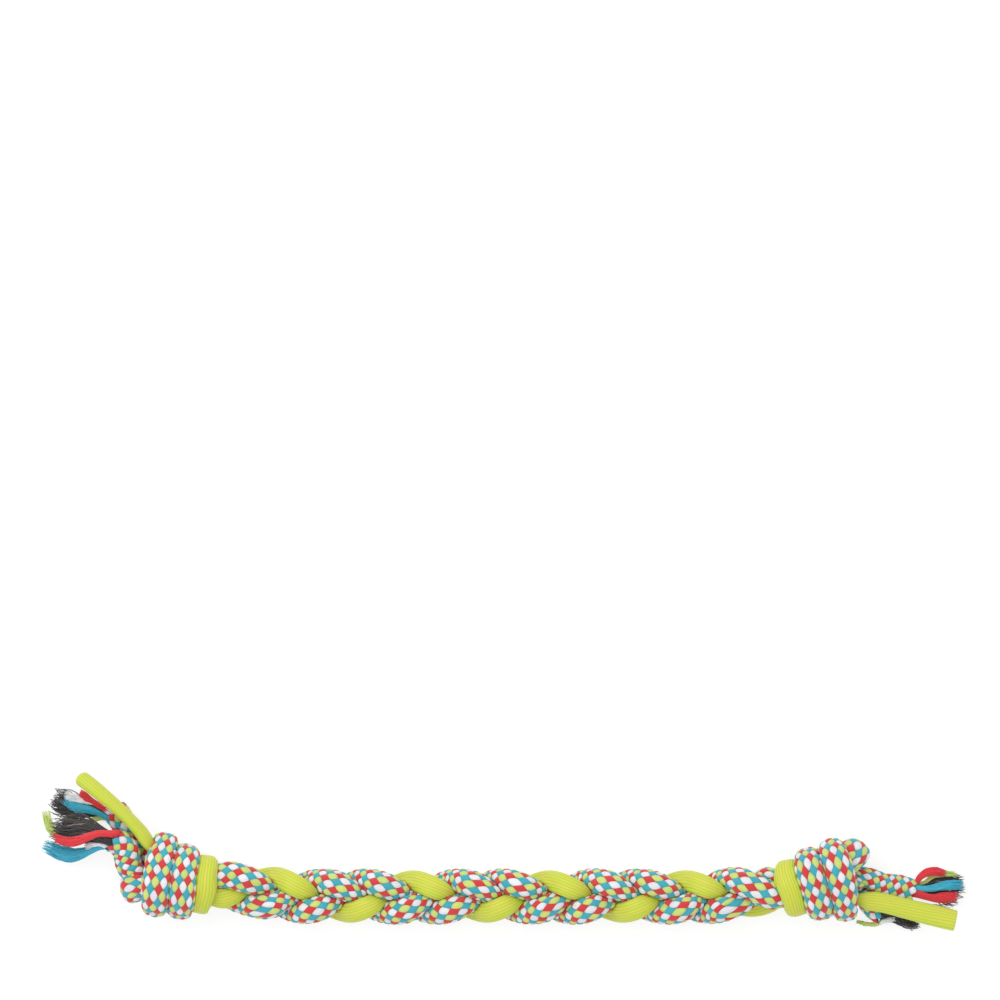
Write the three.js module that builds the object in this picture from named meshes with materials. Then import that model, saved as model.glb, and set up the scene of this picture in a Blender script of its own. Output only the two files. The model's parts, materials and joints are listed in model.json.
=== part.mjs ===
// Tug rope for dogs: two braided ropes and one ribbed rubber cord, plaited flat and knotted at both ends.
// Millimetres, +Z up, X along the plait. The toy lies on the plane z = 0.
import * as THREE from "three";

// Strands
const ROPE_DIAMETER = 14;
const CORE_DIAMETER = 7;
const CORE_DEPTH = 12;
const CORD_WIDTH = 12;
const CORD_THICKNESS = 7.5;

// Plait between the knots
const PLAIT_LENGTH = 301;
const PLAIT_WIDTH = 26;
const PLAIT_THICKNESS = 27;
const PLAIT_PITCH = 73;
const PLAIT_PHASE = 213;
const PLAIT_STEP = 6;
const PLAIT_SET_BACK = 16;

// Necks: how far before and past the plait's end it rises and turns aside into the knot, and by how much
const RISE_BEFORE = 55;
const RISE_PAST = 10;
const NECK_SIDE_LEFT = 7;
const NECK_SIDE_RIGHT = 2;
const NECK_DROP = 2;

// Knots: distance of the middle from the plait's end, height of the middle, shift to the side, tightness,
// how far each knot climbs to the side on its way out, how far its wraps lean, and how far they are
// pushed together towards the innermost one
const KNOT_INSET = 20.5;
const KNOT_HEIGHT = 19.5;
const KNOT_SIDE_LEFT = 9;
const KNOT_SIDE_RIGHT = 8;
const KNOT_SCALE_LEFT = 0.86;
const KNOT_SCALE_RIGHT = 0.8;
const KNOT_CLIMB = 0.2;
const KNOT_LEAN_LEFT = 0;
const KNOT_LEAN_RIGHT = 0.45;
const KNOT_GATHER_LEFT = 0.14;
const KNOT_GATHER_RIGHT = 0;
const INNER_WRAP = -14.5;

// Pressed rope: share of the full width left where strands cross and where they lie side by side
const CROSSING_SHARE = 0.48;
const SIDE_SHARE = 0.9;
const BULGE = 1.28;
const CONTACT_GAP = 0.85;
const WRAP_FLATTEN = 0.74;
const WRAP_WIDEN = 1.04;
const FRINGE_FLATTEN = 0.4;
const YARN_FLATTEN = 0.7;
const GROUND_PRESS = ROPE_DIAMETER / 10;
const TIGHTEN = 0.3;
const TIGHTEN_ROUNDS = 80;
const TIGHT_BEFORE = 22;
const TIGHT_PAST = 4;
const WRAP_NEAR = 22;
const WRAP_FAR = 40;
const OWN_RUN = 24;

// Bends: where the plait flexes, and the ball that each bend turns on
const BEND_X = 45;
const NECK_INSET = 17.5;
const BEND_BALL = 22;
const BALL_GAP = 1.15;
const TAIL_BALL_SHARE = 1.15;

// Frayed ends: fit of a core or yarn against its sheath, the straight root and the taper of loose yarn
const FIT_GAP = 0.5;
const ROOT_LENGTH = 3;
const CORE_SLEEVE = 5;
const YARN_TAPER = 0.35;

// Resolution
const SAMPLE_STEP = 2.5;
const RING_STEP = 4.5;
const SIDES = 10;
const YARN_SIDES = 6;
const ROOT_SAMPLES = 4;

const LEFT = -1;
const RIGHT = 1;

const v3 = (x, y, z) => new THREE.Vector3(x, y, z);
const lerp = THREE.MathUtils.lerp;
const smooth = THREE.MathUtils.smoothstep;
const plaitEnd = PLAIT_LENGTH / 2;
const knotReach = plaitEnd + KNOT_INSET;
const neckX = plaitEnd - NECK_INSET;

// Materials
const sheathMaterial = () => new THREE.MeshStandardMaterial({ color: 0xb9a39a, roughness: 0.9 });
const rubberMaterial = () => new THREE.MeshStandardMaterial({ color: 0xc8d732, roughness: 0.55 });
const yarnMaterial = (color) => () => new THREE.MeshStandardMaterial({ color, roughness: 0.9 });
const coreMaterial = yarnMaterial(0x1e1c1e);
const redMaterial = yarnMaterial(0xde2d37);
const blueMaterial = yarnMaterial(0x32a5b9);
const whiteMaterial = yarnMaterial(0xebeef5);
const greenMaterial = yarnMaterial(0xc8e178);

// The three strands, with their turn in the plait.
const CORD = { name: "rubber_cord", turn: 0, width: CORD_WIDTH, thickness: CORD_THICKNESS };
const ROPE_A = { name: "rope_a", turn: 1, width: ROPE_DIAMETER, thickness: ROPE_DIAMETER };
const ROPE_B = { name: "rope_b", turn: 2, width: ROPE_DIAMETER, thickness: ROPE_DIAMETER };
const STRANDS = [CORD, ROPE_A, ROPE_B];

// Overhand knot, from the plait outwards: u away from the plait, v across, w up, about the knot's middle.
// In under the wraps, a bend at the outer end, back beneath, once around the top, down through the bend.
const KNOT_ROUTE = {
  inner: [
    [-4, 6, 0], [8, 7, 1], [16, 8, -6], [9, 9, -15], [-2, 6, -18], [-10, -3, -18],
    [-14, -12, -11], [-14.5, -16, 1], [-14.5, -10, 13.5], [-13.5, 0, 18], [-12, 10, 14],
    [-11, 16, 1], [-8, 11, -9], [2, 1, -9], [11, -7, -6],
  ],
  middle: [
    [-4, 2, 3], [9, 6, 5], [17, 7, 5], [22.5, 8, -5], [16, 5, -16], [6, -3, -18],
    [-2, -13, -14], [-2.5, -18.5, -1], [-2.5, -12, 14.5], [-1.5, 0, 19.5], [0, 12, 15],
    [1, 18.5, 0], [4, 14, -9], [11, 3, -9], [17, -9, -11],
  ],
  outer: [
    [-4, -6, 3], [9, -4, 5], [17, -3, 5], [22.5, -2, -5], [16.5, -6, -16], [13, -12, -15],
    [10.5, -19.5, -8], [10, -21, 3], [10, -12.5, 15], [11, 0, 19.5], [12.5, 12.5, 15.5],
    [14, 20, 2], [15, 16, -8], [18, 4, -8],
  ],
};

// Which strand takes which lane of the knot.
const LANES = {
  left: { rubber_cord: "inner", rope_a: "middle", rope_b: "outer" },
  right: { rubber_cord: "inner", rope_b: "middle", rope_a: "outer" },
};

// Free ends, from inside the knot outwards, about the same middle. Each comes free at its second point.
const TAIL_ROUTE = {
  left: {
    rubber_cord: [[17, -25.5, 0], [27, -35.5, 3], [38, -45, 2], [52.5, -56, -1]],
    rope_a: [[22, -18.5, -11], [28, -26.5, -11], [36, -34, -12]],
    rope_b: [[22, -11, -5.5], [27, -18.5, -0.5], [35, -23.2, 1.5]],
  },
  right: {
    rubber_cord: [[23, -3.5, -1], [32, -10, 2.5], [46, -13.5, 0.5], [60, -17, -1], [74.5, -20.5, -1]],
    rope_a: [[24, 0.5, -6], [36, -1, -10], [53, -6.5, -13]],
    rope_b: [[24, -9, -11], [28.5, -14, -13], [36, -17, -13.5]],
  },
};

// Yarn left loose at each rope end: half width and route of the core's fringe and of each tuft of
// sheath yarn.
const FRAY = {
  left: {
    rope_b: {
      core: [8, [[47, -29, 1], [64, -31, -1]]],
      red: [2.8, [[42, -28.5, 8], [54, -24, 8], [70, -21.5, 5]]],
      blue: [4, [[48, -17, -3], [58, -14.5, -6], [70, -18, -8]]],
      white: [2.4, [[45, -21, 2], [58, -19, 0]]],
      green: [2.8, [[50, -25, -4], [68, -26, -5], [73, -36, -6]]],
    },
    rope_a: {
      core: [9, [[50, -38, -13], [66, -44, -14]]],
      red: [2.8, [[41, -41.5, -8], [47, -45.5, -7.5], [56, -48, -7.5]]],
      blue: [3, [[47, -36, -9], [55, -39, -9.5], [62, -43, -9.5]]],
      white: [3.4, [[45, -41, -9.5], [54, -45, -9.5], [63, -48, -9.5]]],
      green: [2.6, [[48, -30, -13], [60, -32, -15]]],
    },
  },
  right: {
    rope_a: {
      core: [10, [[64, -3, -14], [80, -5.5, -15]]],
      red: [2.8, [[57, 1.5, -9], [63, 5.5, -8], [72, 3.5, -11]]],
      low_red: [3.4, [[62, -9, -9], [70, -8.5, -8], [78, -8.5, -10]]],
      blue: [3, [[62, -4, -8.5], [71, -2, -8.5], [81, -2.5, -10.5]]],
      white: [2.6, [[61, -14, -14], [72, -16, -15]]],
      green: [2, [[62, 2, -12], [70, 3.5, -13], [77, 2.5, -14]]],
    },
    rope_b: {
      core: [5, [[43, -19.5, -15], [54, -22.5, -15]]],
      red: [2.4, [[42, -16, -16], [50, -18.5, -16]]],
      blue: [2.4, [[43, -17.5, -11], [51, -19, -12]]],
      white: [2, [[40, -21.5, -12], [46, -24, -14]]],
      green: [1.3, [[38, -21.5, -15], [32, -24, -17], [22, -22, -17.5]]],
    },
  },
};

function sideName(end) {
  return end === LEFT ? "left" : "right";
}

function knotPoint(end, [u, v, w]) {
  const side = end === LEFT ? KNOT_SIDE_LEFT : KNOT_SIDE_RIGHT;
  return v3(end * (knotReach + u), side + end * v, KNOT_HEIGHT + w);
}

// Middle line of the plait: low between the knots, rising to each knot's middle.
function plaitAxis(x) {
  const away = smooth(Math.abs(x), plaitEnd - RISE_BEFORE, plaitEnd + RISE_PAST);
  const side = x < 0 ? NECK_SIDE_LEFT : NECK_SIDE_RIGHT;
  const low = PLAIT_THICKNESS / 2 - GROUND_PRESS;
  return v3(x, side * away, lerp(low, KNOT_HEIGHT - NECK_DROP, away));
}

function plaitPoint(strand, x) {
  const angle = THREE.MathUtils.degToRad(PLAIT_PHASE - 120 * strand.turn + (360 * x) / PLAIT_PITCH);
  const swing = (PLAIT_WIDTH - strand.width) / 2;
  const lift = (PLAIT_THICKNESS - strand.thickness) / 2;
  return plaitAxis(x).add(v3(0, swing * Math.cos(angle), lift * Math.sin(2 * angle)));
}

function knotRoute(strand, end) {
  const scale = end === LEFT ? KNOT_SCALE_LEFT : KNOT_SCALE_RIGHT;
  const lean = end === LEFT ? KNOT_LEAN_LEFT : KNOT_LEAN_RIGHT;
  const gather = end === LEFT ? KNOT_GATHER_LEFT : KNOT_GATHER_RIGHT;
  const lane = LANES[sideName(end)][strand.name];
  return KNOT_ROUTE[lane].map(([u, v, w]) => {
    const across = v * scale;
    const out = lerp(u, INNER_WRAP, gather);
    return knotPoint(end, [out - lean * across, across + end * KNOT_CLIMB * out, w * scale]);
  });
}

function tailRoute(strand, end) {
  return TAIL_ROUTE[sideName(end)][strand.name].map((point) => knotPoint(end, point));
}

function evenly(route, step) {
  const curve = new THREE.CatmullRomCurve3(route, false, "centripetal");
  curve.arcLengthDivisions = 2000;
  return curve.getSpacedPoints(Math.max(3, Math.round(curve.getLength() / step)));
}

function nearest(line, place) {
  let best = 0;
  line.forEach((p, i) => {
    if (p.distanceToSquared(place) < line[best].distanceToSquared(place)) best = i;
  });
  return best;
}

function highest(points) {
  return points.reduce((top, point) => (point.z > top.z ? point : top));
}

// One strand from its left end to its right end, in even steps, with the samples that matter later.
function strandRun(strand) {
  const reach = plaitEnd - PLAIT_SET_BACK;
  const count = Math.round((2 * reach) / PLAIT_STEP);
  const plait = [];
  for (let i = 0; i <= count; i += 1) {
    plait.push(plaitPoint(strand, lerp(-reach, reach, i / count)));
  }
  const knots = { left: knotRoute(strand, LEFT), right: knotRoute(strand, RIGHT) };
  const tails = { left: tailRoute(strand, LEFT), right: tailRoute(strand, RIGHT) };
  const before = [...knots.left, ...tails.left].reverse();
  const line = evenly([...before, ...plait, ...knots.right, ...tails.right], SAMPLE_STEP);
  const at = { plait: [nearest(line, plait[0]), nearest(line, plait[count])] };
  for (const side of ["left", "right"]) {
    at[side] = {
      top: nearest(line, highest(knots[side])),
      exit: nearest(line, tails[side][1]),
    };
  }
  const radius = (strand.width + strand.thickness) / 4;
  return { name: strand.name, strand, line, at, sides: SIDES, radii: line.map(() => radius) };
}

// Draws the knots tight: each strand is pulled straight while its neighbours hold it off.
function drawTight(runs) {
  const points = [];
  runs.forEach((run, s) => {
    run.line.forEach((place, i) => {
      const held = smooth(Math.abs(place.x), plaitEnd - TIGHT_BEFORE, plaitEnd + TIGHT_PAST);
      const ends = Math.min(i, run.line.length - 1 - i);
      const free = held * smooth(ends, 2, 10);
      points.push({ place, s, radius: run.radii[i], along: v3(1, 0, 0), free });
    });
  });
  for (let round = 0; round < TIGHTEN_ROUNDS; round += 1) {
    let base = 0;
    for (const { line } of runs) {
      const old = line.map((p) => p.clone());
      for (let i = 1; i < line.length - 1; i += 1) {
        const mid = old[i - 1].clone().add(old[i + 1]).multiplyScalar(0.5);
        line[i].lerp(mid, TIGHTEN * points[base + i].free);
        points[base + i].along = old[i + 1].clone().sub(old[i - 1]).normalize();
      }
      base += line.length;
    }
    for (let a = 0; a < points.length; a += 1) {
      for (let b = a + 1; b < points.length; b += 1) {
        holdApart(points[a], points[b], (b - a) * SAMPLE_STEP);
      }
    }
    for (const p of points) {
      p.place.z = Math.max(p.place.z, p.radius * 0.8);
    }
  }
}

function holdApart(p, q, run) {
  const full = p.radius + q.radius;
  if (Math.abs(q.place.x - p.place.x) > full || p.free + q.free === 0) return;
  if (p.s === q.s && run < 2.2 * full) return;
  const way = q.place.clone().sub(p.place);
  const length = way.length();
  const beside = smooth(Math.abs(p.along.dot(q.along)), 0.5, 0.9);
  const apart = full * lerp(CROSSING_SHARE, SIDE_SHARE, beside);
  if (length >= apart || length < 1e-6) return;
  way.multiplyScalar((0.5 * (apart - length)) / length / (p.free + q.free));
  p.place.addScaledVector(way, -p.free);
  q.place.addScaledVector(way, q.free);
}

function tangents(line) {
  return line.map((p, i) => {
    const before = line[Math.max(i - 1, 0)];
    const after = line[Math.min(i + 1, line.length - 1)];
    return after.clone().sub(before).normalize();
  });
}

function square(vector, along) {
  return vector.clone().addScaledVector(along, -vector.dot(along)).normalize();
}

// Faces of a strand: carried along without twist between the samples where the face is known.
function facing(line, known) {
  const along = tangents(line);
  const stops = [...known.keys()].sort((a, b) => a - b);
  const normals = new Array(line.length);
  normals[stops[0]] = square(known.get(stops[0]), along[stops[0]]);
  for (let i = stops[0] - 1; i >= 0; i -= 1) normals[i] = square(normals[i + 1], along[i]);
  for (let n = 0; n < stops.length; n += 1) {
    const from = stops[n];
    const to = n + 1 < stops.length ? stops[n + 1] : line.length - 1;
    for (let i = from + 1; i <= to; i += 1) normals[i] = square(normals[i - 1], along[i]);
    if (n + 1 === stops.length) continue;
    const want = square(known.get(to), along[to]);
    if (want.dot(normals[to]) < 0) want.negate();
    const side = along[to].clone().cross(normals[to]);
    const twist = Math.atan2(want.dot(side), want.dot(normals[to]));
    for (let i = from + 1; i <= to; i += 1) {
      normals[i].applyAxisAngle(along[i], (twist * (i - from)) / (to - from));
    }
  }
  return normals.map((normal, i) => {
    const across = along[i].clone().cross(normal);
    return { along: along[i], normal, across };
  });
}

// The flat cord lies face up in the plait and face out around each knot. Its left end stands on edge,
// and its right end is tipped to one side.
function strandFaces(run) {
  const known = new Map();
  const up = v3(0, 0, 1);
  for (let i = run.at.plait[0]; i <= run.at.plait[1]; i += 1) {
    if (run.strand === CORD || i === run.at.plait[0]) known.set(i, up);
  }
  known.set(run.at.left.top, up);
  known.set(run.at.right.top, up);
  if (run.strand === CORD) {
    known.set(run.line.length - 1, v3(0, 0.6, 0.8));
    known.set(0, v3(0.7, 0.7, 0.2));
  }
  return facing(run.line, known);
}

// Half width of the free section in a direction given by its angle from the normal.
// Rope drawn around a knot lies flatter and wider than free rope.
function freeRadius(run, i, angle) {
  if (!run.strand) {
    const spread = smooth(run.radii[i], CORE_DIAMETER / 2, CORE_DIAMETER);
    const lie = run.colour === "core" ? lerp(1, FRINGE_FLATTEN, spread) : YARN_FLATTEN;
    return run.radii[i] / Math.hypot(Math.cos(angle) / lie, Math.sin(angle));
  }
  const flat = run.strand === CORD ? 0 : wrapShare(run, i);
  const a = Math.cos(angle) / ((run.strand.thickness / 2) * lerp(1, WRAP_FLATTEN, flat));
  const b = Math.sin(angle) / ((run.strand.width / 2) * lerp(1, WRAP_WIDEN, flat));
  return 1 / Math.hypot(a, b);
}

function wrapShare(run, i) {
  const away = Math.min(Math.abs(i - run.at.left.top), Math.abs(i - run.at.right.top)) * SAMPLE_STEP;
  return 1 - smooth(away, WRAP_NEAR, WRAP_FAR);
}

// Rays of a run's section at one sample, each with its free length and the length its neighbours leave.
function sectionRays(run, runs, i) {
  const centre = run.line[i];
  const frame = run.frames[i];
  const own = run.radii[i];
  const rays = [];
  for (let k = 0; k < run.sides; k += 1) {
    const angle = (2 * Math.PI * (k + 0.5)) / run.sides;
    const ray = frame.normal.clone().multiplyScalar(Math.cos(angle));
    ray.addScaledVector(frame.across, Math.sin(angle));
    const limit = ray.z < -0.02 ? centre.z / -ray.z : Infinity;
    rays.push({ ray, free: freeRadius(run, i, angle), limit });
  }
  for (const other of runs) {
    other.line.forEach((place, j) => {
      if (other === run && Math.abs(i - j) * SAMPLE_STEP < OWN_RUN) return;
      if (run.host === other && (run.colour === "core" || i < ROOT_SAMPLES)) return;
      if (other.host === run && (other.colour === "core" || j < ROOT_SAMPLES)) return;
      const way = place.clone().sub(centre);
      const length = way.length();
      if (length > 1.3 * (own + other.radii[j])) return;
      const face = (length * own) / (own + other.radii[j]) - CONTACT_GAP / 2;
      for (const r of rays) {
        const lean = r.ray.dot(way) / length;
        if (lean > 0.05) r.limit = Math.min(r.limit, face / lean);
      }
    });
  }
  return rays;
}

// Section of a run at each sample: its free outline, pressed flat against neighbours and the ground,
// and bulging elsewhere until it has its full area again.
function pressedSections(run, runs) {
  const rays = run.line.map((centre, i) => sectionRays(run, runs, i));
  const grow = evened(rays.map((list) => (run.strand ? fullArea(list) : 1)), 6);
  const last = rays.length - 1;
  const limitAt = (i, k) => rays[Math.min(Math.max(i, 0), last)][k].limit;
  const tightest = (i, k) => Math.min(limitAt(i - 1, k), limitAt(i, k), limitAt(i + 1, k));
  const reach = rays.map((list, i) => list.map((r, k) => Math.min(r.free * grow[i], tightest(i, k))));
  return rays.map((list, i) => list.map((r, k) => {
    const beside = (reach[Math.max(i - 1, 0)][k] + reach[Math.min(i + 1, last)][k]) / 2;
    const length = Math.min(reach[i][k], (reach[i][k] + beside) / 2);
    return run.line[i].clone().addScaledVector(r.ray, Math.max(length, 0.4));
  }));
}

function evened(list, rounds) {
  let values = list;
  for (let n = 0; n < rounds; n += 1) {
    const old = values;
    values = old.map((value, i) => {
      const before = old[Math.max(i - 1, 0)];
      const after = old[Math.min(i + 1, old.length - 1)];
      return (before + 2 * value + after) / 4;
    });
  }
  return values;
}

function fullArea(rays) {
  const after = (k) => rays[(k + 1) % rays.length];
  const area = (reach) => rays.reduce((sum, r, k) => sum + reach(r) * reach(after(k)), 0);
  const full = area((r) => r.free);
  let low = 1;
  let high = BULGE;
  for (let n = 0; n < 12; n += 1) {
    const grow = (low + high) / 2;
    if (area((r) => Math.min(r.free * grow, r.limit)) < full) low = grow;
    else high = grow;
  }
  return low;
}

// Point on line k of a run's surface at a fractional sample. What lies near the ground lies flat on it.
function onSurface(run, k, t) {
  const i = Math.min(Math.max(Math.floor(t), 0), run.line.length - 2);
  const point = run.sections[i][k].clone().lerp(run.sections[i + 1][k], t - i);
  if (point.z < GROUND_PRESS) point.z = 0;
  return point;
}

// Where each line of a strand's surface, and its middle line, meet the ball of a bend.
function ballCut(run, bend, radius) {
  const middle = bend.sample(run);
  const outward = run.frames[middle].along.dot(bend.axis) > 0 ? 1 : -1;
  const meet = (pointAt) => {
    let t = middle + outward * 2;
    while (aheadOfBall(pointAt(t), bend.pivot(run), bend.axis, radius) > 0) t -= outward * 0.1;
    return t;
  };
  const lines = [];
  for (let k = 0; k < run.sides; k += 1) lines.push(meet((t) => onSurface(run, k, t)));
  const centre = onLine(run, meet((t) => onLine(run, t)));
  return { lines, centre, pivot: bend.pivot(run), radius };
}

function aheadOfBall(point, pivot, axis, radius) {
  const way = point.clone().sub(pivot);
  const ahead = way.dot(axis);
  const off = Math.max(way.lengthSq() - ahead * ahead, 0);
  return ahead + Math.sqrt(Math.max(radius * radius - off, 0));
}

function onLine(run, t) {
  const i = Math.min(Math.max(Math.floor(t), 0), run.line.length - 2);
  return run.line[i].clone().lerp(run.line[i + 1], t - i);
}

// Square end of a strand.
function squareEnd(run, t) {
  return { lines: new Array(run.sides).fill(t), centre: run.line[t] };
}

// Ring half way in on a ball-shaped end, so that the end is round and not flat.
function roundEnd(cut, ring) {
  if (!cut.pivot) return [];
  return [ring.map((p) => {
    const way = p.clone().lerp(cut.centre, 0.5).sub(cut.pivot);
    return way.setLength(cut.radius).add(cut.pivot);
  })];
}

// Closed skin through a list of rings of equal count, with a point in the middle of each end.
function loft(rings, start, end) {
  const sides = rings[0].length;
  const corners = [...rings.flat(), start, end];
  const index = [];
  for (let j = 0; j + 1 < rings.length; j += 1) {
    for (let k = 0; k < sides; k += 1) {
      const a = j * sides + k;
      const b = j * sides + ((k + 1) % sides);
      index.push(a, b, a + sides, b, b + sides, a + sides);
    }
  }
  const last = (rings.length - 1) * sides;
  const tip = rings.length * sides;
  for (let k = 0; k < sides; k += 1) {
    const next = (k + 1) % sides;
    index.push(tip, next, k);
    index.push(tip + 1, last + k, last + next);
  }
  const geometry = new THREE.BufferGeometry();
  const places = corners.flatMap((p) => p.toArray());
  geometry.setAttribute("position", new THREE.Float32BufferAttribute(places, 3));
  geometry.setIndex(index);
  geometry.computeVertexNormals();
  return geometry;
}

function middleOf(ring) {
  return ring.reduce((sum, p) => sum.add(p), v3(0, 0, 0)).multiplyScalar(1 / ring.length);
}

const mean = (list) => list.reduce((sum, value) => sum + value, 0) / list.length;

// Rings of a length between two cuts: slanted like the cut over the first and last few, square between.
function ringsBetween(run, fromCut, toCut) {
  const from = fromCut.lines;
  const to = toCut.lines;
  const start = mean(from);
  const end = mean(to);
  const count = Math.max(2, Math.round(((end - start) * SAMPLE_STEP) / RING_STEP));
  const slant = Math.min(4, count);
  const rings = [];
  for (let j = 0; j <= count; j += 1) {
    const near = Math.max(0, 1 - j / slant);
    const far = Math.max(0, 1 - (count - j) / slant);
    rings.push(from.map((t, k) => {
      const place = lerp(start, end, j / count) + (t - start) * near + (to[k] - end) * far;
      return onSurface(run, k, place);
    }));
  }
  return [...roundEnd(fromCut, rings[0]), ...rings, ...roundEnd(toCut, rings[count])];
}

const toy = new THREE.Group();
toy.userData.pivots = {};

function add(name, geometry, material) {
  const mesh = new THREE.Mesh(geometry, material());
  mesh.name = name;
  toy.add(mesh);
}

// Bends of the plait, and the pivot of each free end in the strand's own middle.
function plaitBend(x) {
  const place = plaitAxis(x);
  return {
    axis: v3(Math.sign(x), 0, 0),
    pivot: () => place,
    sample: (run) => nearest(run.line, plaitPoint(run.strand, x)),
    ball: BEND_BALL,
  };
}

function tailBend(run, end) {
  const i = run.at[sideName(end)].exit;
  return {
    axis: run.frames[i].along.clone().multiplyScalar(end),
    pivot: () => run.line[i],
    sample: () => i,
    ball: TAIL_BALL_SHARE * Math.max(...run.sections[i].map((p) => p.distanceTo(run.line[i]))),
  };
}

// Strands, drawn tight and pressed together.
const strandRuns = STRANDS.map(strandRun);
drawTight(strandRuns);
for (const run of strandRuns) run.frames = strandFaces(run);

// Loose yarn at one rope end: the core runs up inside the sheath, the sheath's yarns start at its rim.
function yarnRuns(host, end) {
  const side = sideName(end);
  const last = host.line.length - 1;
  const tip = end === LEFT ? 0 : last;
  const frame = host.frames[tip];
  const outward = frame.along.clone().multiplyScalar(end);
  const wall = (ROPE_DIAMETER + CORE_DIAMETER) / 4;
  return Object.entries(FRAY[side][host.name]).map(([colour, [width, points]]) => {
    const route = points.map((point) => knotPoint(end, point));
    const radial = square(route[0].clone().sub(host.line[tip]), outward);
    const start = host.line[tip].clone();
    if (colour === "core") {
      const deep = Math.round(CORE_DEPTH / SAMPLE_STEP);
      for (let n = 0; n < deep; n += 1) route.unshift(host.line[tip - end * n].clone());
      const floor = host.line[tip - end * deep].clone();
      route.unshift(floor.lerp(host.line[tip - end * (deep - 1)], FIT_GAP / SAMPLE_STEP));
    } else {
      start.addScaledVector(radial, wall).addScaledVector(outward, FIT_GAP);
      route.unshift(start, start.clone().addScaledVector(outward, ROOT_LENGTH));
    }
    const line = evenly(route, SAMPLE_STEP);
    const root = colour === "core" ? CORE_DIAMETER / 2 : (ROPE_DIAMETER - CORE_DIAMETER) / 4 - FIT_GAP;
    const rooted = colour === "core" ? (CORE_DEPTH + CORE_SLEEVE) / SAMPLE_STEP : 2;
    const radii = line.map((p, i) => {
      const share = Math.max(0, i - rooted) / (line.length - 1 - rooted);
      return lerp(root, width, smooth(share, 0, 0.6)) * (1 - YARN_TAPER * smooth(share, 0.75, 1));
    });
    const frames = facing(line, new Map([[0, v3(0, 0, 1)]]));
    const label = colour === "core" ? "core" : `${colour}_yarns`;
    const name = `${host.name}_${side}_${label}`;
    return { name, host, colour, line, radii, frames, sides: YARN_SIDES };
  });
}

const yarns = [];
for (const run of strandRuns.slice(1)) {
  for (const end of [LEFT, RIGHT]) yarns.push(...yarnRuns(run, end));
}
const allRuns = [...strandRuns, ...yarns];
for (const run of allRuns) run.sections = pressedSections(run, allRuns);

// Rings of the blind hole in a rope's end, from its floor to its mouth.
function boreRings(run, end) {
  const tip = end === LEFT ? 0 : run.line.length - 1;
  const deep = Math.round(CORE_DEPTH / SAMPLE_STEP);
  const rings = [];
  for (let n = deep; n >= 0; n -= 1) {
    const i = tip - end * n;
    const ring = run.sections[i].map((p) => {
      const ray = square(p.clone().sub(run.line[i]), run.frames[i].along);
      return run.line[i].clone().addScaledVector(ray, CORE_DIAMETER / 2 + FIT_GAP);
    });
    rings.push(ring);
  }
  return rings;
}

// Each strand in seven lengths: a tail, a knot and a stretch of plait at each side of the middle stretch.
for (const run of strandRuns) {
  const material = run.strand === CORD ? rubberMaterial : sheathMaterial;
  const bends = [
    tailBend(run, LEFT), plaitBend(-neckX), plaitBend(-BEND_X),
    plaitBend(BEND_X), plaitBend(neckX), tailBend(run, RIGHT),
  ];
  const balls = bends.map((bend) => ballCut(run, bend, bend.ball));
  const cups = bends.map((bend) => ballCut(run, bend, bend.ball + BALL_GAP));
  const lengths = {
    left_tail: [squareEnd(run, 0), balls[0]],
    left_knot: [cups[0], balls[1]],
    braid_left: [cups[1], balls[2]],
    braid_middle: [cups[2], cups[3]],
    braid_right: [balls[3], cups[4]],
    right_knot: [balls[4], cups[5]],
    right_tail: [balls[5], squareEnd(run, run.line.length - 1)],
  };
  for (const [part, [from, to]] of Object.entries(lengths)) {
    const rings = ringsBetween(run, from, to);
    let start = from.centre;
    let end = to.centre;
    if (run.strand !== CORD && part === "left_tail") {
      rings.unshift(...boreRings(run, LEFT));
      start = middleOf(rings[0]);
    }
    if (run.strand !== CORD && part === "right_tail") {
      rings.push(...boreRings(run, RIGHT).reverse());
      end = middleOf(rings[rings.length - 1]);
    }
    add(`${run.name}_${part}`, loft(rings, start, end), material);
  }
  toy.userData.pivots[run.name] = bends.map((bend) => bend.pivot(run).toArray());
}

const YARN_MATERIALS = {
  core: coreMaterial, red: redMaterial, low_red: redMaterial,
  blue: blueMaterial, white: whiteMaterial, green: greenMaterial,
};
for (const run of yarns) {
  const last = run.sections.length - 1;
  const rings = run.sections.filter((ring, i) => i % 2 === 0 || i === last);
  add(run.name, loft(rings, run.line[0], run.line[last]), YARN_MATERIALS[run.colour]);
}

// The origin is the middle of the box the toy fills, on the ground.
const box = new THREE.Box3().setFromObject(toy);
const shift = box.getCenter(v3(0, 0, 0)).setZ(box.min.z).negate();
for (const mesh of toy.children) mesh.geometry.translate(shift.x, shift.y, shift.z);
toy.userData.shift = shift.toArray();

export default toy;
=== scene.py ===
import json

import bpy
import numpy as np
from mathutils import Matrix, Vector
from mathutils.bvhtree import BVHTree


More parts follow.
